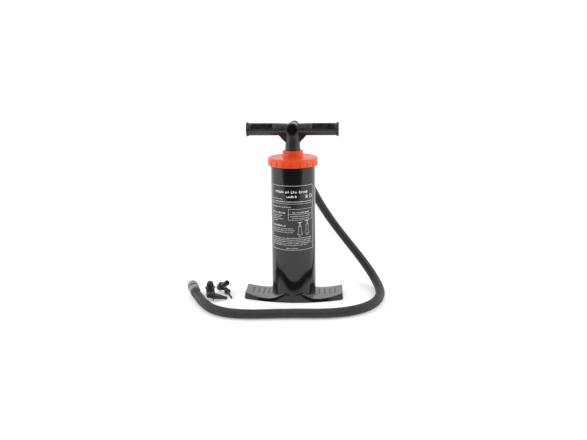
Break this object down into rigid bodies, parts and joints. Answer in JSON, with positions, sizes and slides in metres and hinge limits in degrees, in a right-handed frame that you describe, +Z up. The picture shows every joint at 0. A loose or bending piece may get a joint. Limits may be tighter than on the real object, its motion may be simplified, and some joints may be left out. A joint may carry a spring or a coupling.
{
  "type": "double action hand pump",
  "caption": "Free-standing double action air pump with T handle, hollow rod, screw cap, foot plate, and corrugated hose with push-in nozzles.",
  "frame": {"origin": "centre of the underside of the barrel, on the surface the pump stands on", "axes": "+Z up along the barrel, +X along the handle and the foot plate, the front port looks along -Y"},
  "size_m": [0.4383, 0.2991, 0.3823],
  "materials": {
    "barrel_abs": "glossy black moulded",
    "cap_pp": "satin orange moulded",
    "rod_pp": "satin dark grey",
    "handle_pp": "satin dark grey moulded",
    "piston_abs": "moulded grey",
    "bush_pom": "smooth white",
    "seal_nbr": "black rubber",
    "valve_silicone": "soft red silicone",
    "screw_steel": "zinc plated",
    "hose_pe": "black corrugated",
    "hose_end_abs": "light grey moulded",
    "nozzle_pe": "black moulded",
    "twine": "thin grey string"
  },
  "bodies": {
    "barrel": {"barrel": "barrel_abs"},
    "rod_guide": {"rod_guide_bush": "bush_pom", "rod_seal": "seal_nbr", "seal_retainer": "piston_abs"},
    "cap": {"cap": "cap_pp", "cap_seal": "seal_nbr"},
    "hose": {"hose": "hose_pe", "hose_end_sleeve": "hose_end_abs", "hose_end_ring": "seal_nbr", "hose_end_collar": "hose_end_abs", "nozzle_dome": "nozzle_pe", "nozzle_cone": "nozzle_pe", "nozzle_needle": "nozzle_pe", "nozzle_wide": "nozzle_pe", "tether": "twine", "tether_loop": "twine", "tether_knot": "twine"},
    "rod_handle": {"piston_rod": "rod_pp", "channel_divider": "rod_pp", "piston_upper": "piston_abs", "piston_lower": "piston_abs", "piston_ring": "seal_nbr", "piston_screw_left": "screw_steel", "piston_screw_right": "screw_steel", "rod_screw_left": "screw_steel", "rod_screw_right": "screw_steel", "handle_hub": "handle_pp", "grip_left": "handle_pp", "grip_right": "handle_pp", "hose_cuff": "hose_pe"},
    "suction_valve_upper": {"suction_valve_upper": "valve_silicone"},
    "suction_valve_lower": {"suction_valve_lower": "valve_silicone"},
    "pressure_valve_upper": {"pressure_valve_upper": "valve_silicone"},
    "pressure_valve_lower": {"pressure_valve_lower": "valve_silicone"}
  },
  "joints": [
    {"name": "cap_lift", "type": "slide", "parent": "barrel", "child": "rod_guide", "axis": [0, 0, 1], "range_m": [0, 0.006]},
    {"name": "cap_turn", "type": "hinge", "parent": "rod_guide", "child": "cap", "pos_m": [0, 0, 0.3], "axis": [0, 0, 1], "range_deg": [0, 540]},
    {"name": "handle_swivel", "type": "hinge", "parent": "barrel", "child": "hose", "pos_m": [0, 0, 0.3], "axis": [0, 0, 1], "continuous": true},
    {"name": "pump_stroke", "type": "slide", "parent": "hose", "child": "rod_handle", "axis": [0, 0, 1], "range_m": [0, 0.25]},
    {"name": "suction_upper_lift", "type": "slide", "parent": "rod_handle", "child": "suction_valve_upper", "axis": [0, 0, 1], "range_m": [0, 0.0015], "stiffness_N_per_m": 60, "springref_m": -0.0005},
    {"name": "suction_lower_lift", "type": "slide", "parent": "rod_handle", "child": "suction_valve_lower", "axis": [0, 0, -1], "range_m": [0, 0.0015], "stiffness_N_per_m": 60, "springref_m": -0.0005},
    {"name": "pressure_upper_lift", "type": "slide", "parent": "rod_handle", "child": "pressure_valve_upper", "axis": [0, 0, -1], "range_m": [0, 0.0015], "stiffness_N_per_m": 60, "springref_m": -0.0005},
    {"name": "pressure_lower_lift", "type": "slide", "parent": "rod_handle", "child": "pressure_valve_lower", "axis": [0, 0, 1], "range_m": [0, 0.0015], "stiffness_N_per_m": 60, "springref_m": -0.0005}
  ],
  "couplings": [
    {"joint": "cap_lift", "follows": "cap_turn", "m_per_rad": 0.0006366},
    {"joint": "suction_lower_lift", "follows": "pressure_upper_lift", "ratio": 1},
    {"joint": "suction_upper_lift", "follows": "pressure_lower_lift", "ratio": 1}
  ]
}
